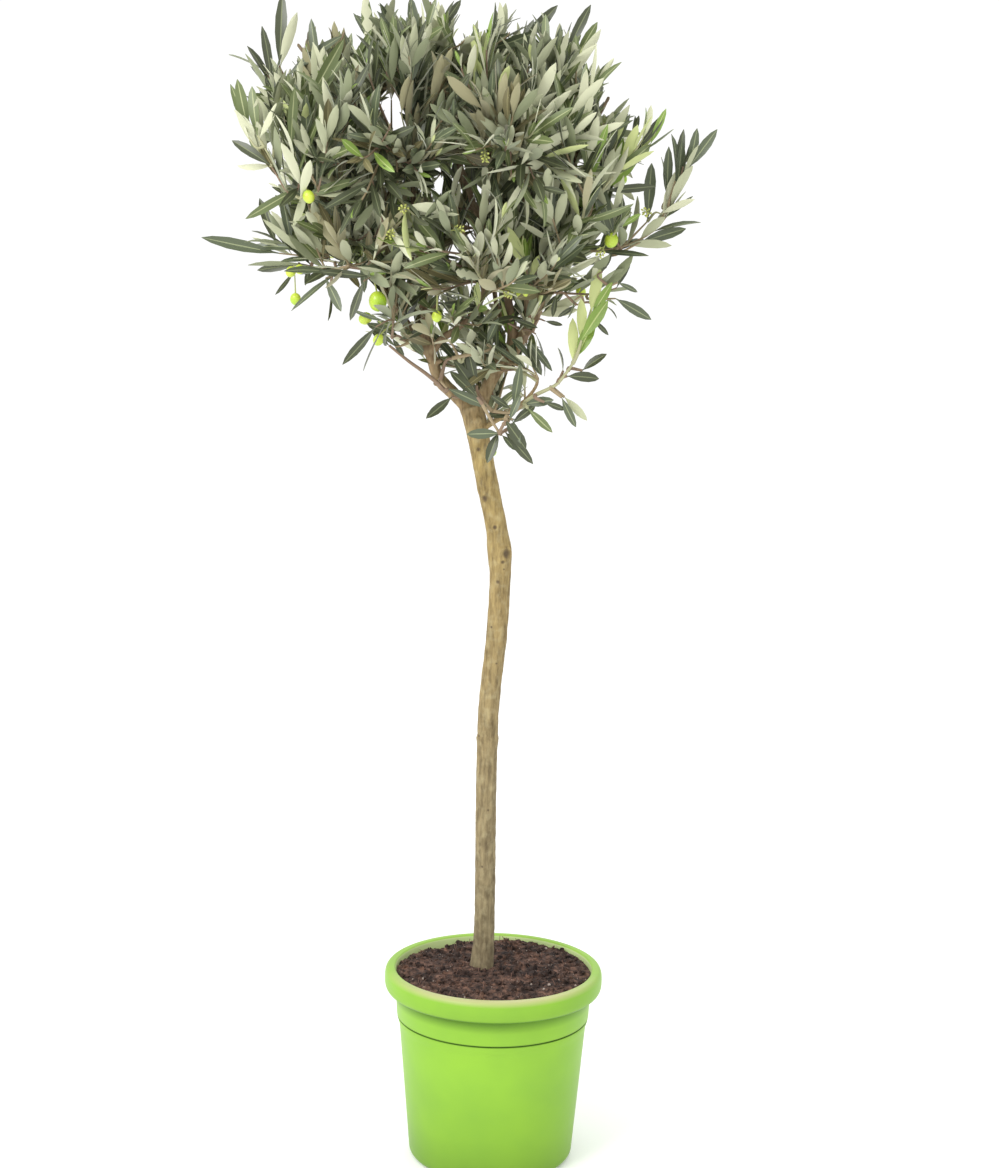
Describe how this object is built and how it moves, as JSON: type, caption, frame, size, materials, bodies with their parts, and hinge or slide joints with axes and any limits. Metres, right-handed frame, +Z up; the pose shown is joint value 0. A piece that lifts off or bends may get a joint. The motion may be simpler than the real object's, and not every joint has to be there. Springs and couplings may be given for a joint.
{
  "type": "potted olive tree",
  "caption": "Standard olive tree with a clear stem that bends to one side at its fork, a round open head of slender leaves and small green fruit, in a round tapered container with a rolled rim.",
  "frame": {"origin": "centre of the container's flat underside, which stands on the ground", "axes": "+Z up the stem; -Y towards the front, the side from which the two main boughs spread left and right; +X to the right, away from the side to which the stem bends at the top"},
  "size_m": [0.5369, 0.4213, 1.2721],
  "materials": {
    "pot": "lime green moulded plastic, satin",
    "soil": "dark damp potting soil with bark fibres",
    "bark": "smooth grey-tan young bark",
    "foliage": "grey-green leaves with silvery undersides, on green twigs"
  },
  "bodies": {
    "root": {"container": "pot", "soil": "soil", "trunk": "bark", "bough_left": "bark", "bough_right": "bark", "bough_left_low": "bark", "bough_front_low": "bark", "bough_back_left_low": "bark", "bough_left_high": "bark", "bough_top": "bark", "bough_back_right_low": "bark", "bough_right_low": "bark", "bough_back_high": "bark", "bough_front_right_high": "bark", "foliage_front_left": "foliage", "foliage_right": "foliage", "foliage_left_low": "foliage", "foliage_front_low": "foliage", "foliage_back_left_low": "foliage", "foliage_left": "foliage", "foliage_top": "foliage", "foliage_back_right_low": "foliage", "foliage_right_low": "foliage", "foliage_back": "foliage", "foliage_front_right": "foliage", "foliage_fork": "foliage"}
  },
  "joints": []
}
